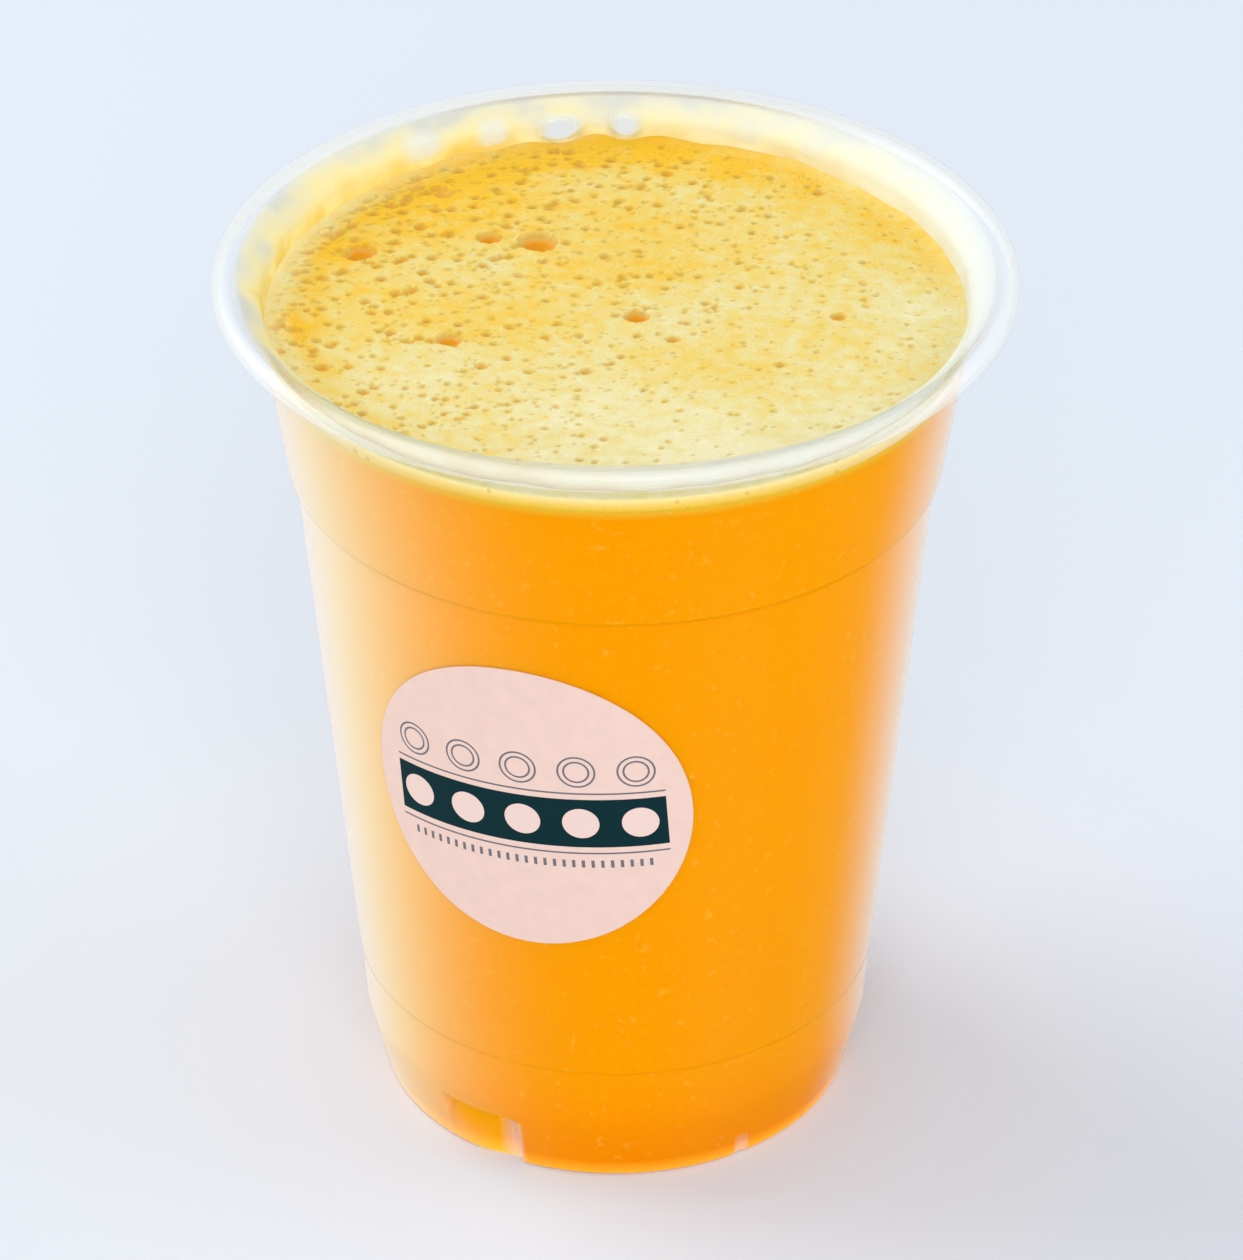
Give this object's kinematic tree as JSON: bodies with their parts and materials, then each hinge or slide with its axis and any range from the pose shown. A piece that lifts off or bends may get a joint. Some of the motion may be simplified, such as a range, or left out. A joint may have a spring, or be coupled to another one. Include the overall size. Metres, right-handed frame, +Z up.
{
  "type": "takeaway cup of orange juice",
  "caption": "Clear plastic takeaway cup filled with orange juice, with pale froth on top and a plain round pale sticker on its wall.",
  "frame": {"origin": "centre of the foot ring, on the surface the cup stands on", "axes": "+Z up along the cup's axis; the round sticker faces -Y"},
  "size_m": [0.095, 0.095, 0.112],
  "materials": {
    "clear_plastic": "clear gloss",
    "juice": "cloudy liquid",
    "froth": "wet foam",
    "sticker": "satin paper"
  },
  "bodies": {
    "root": {"cup": "clear_plastic", "juice": "juice", "froth": "froth", "sticker": "sticker"}
  },
  "joints": []
}
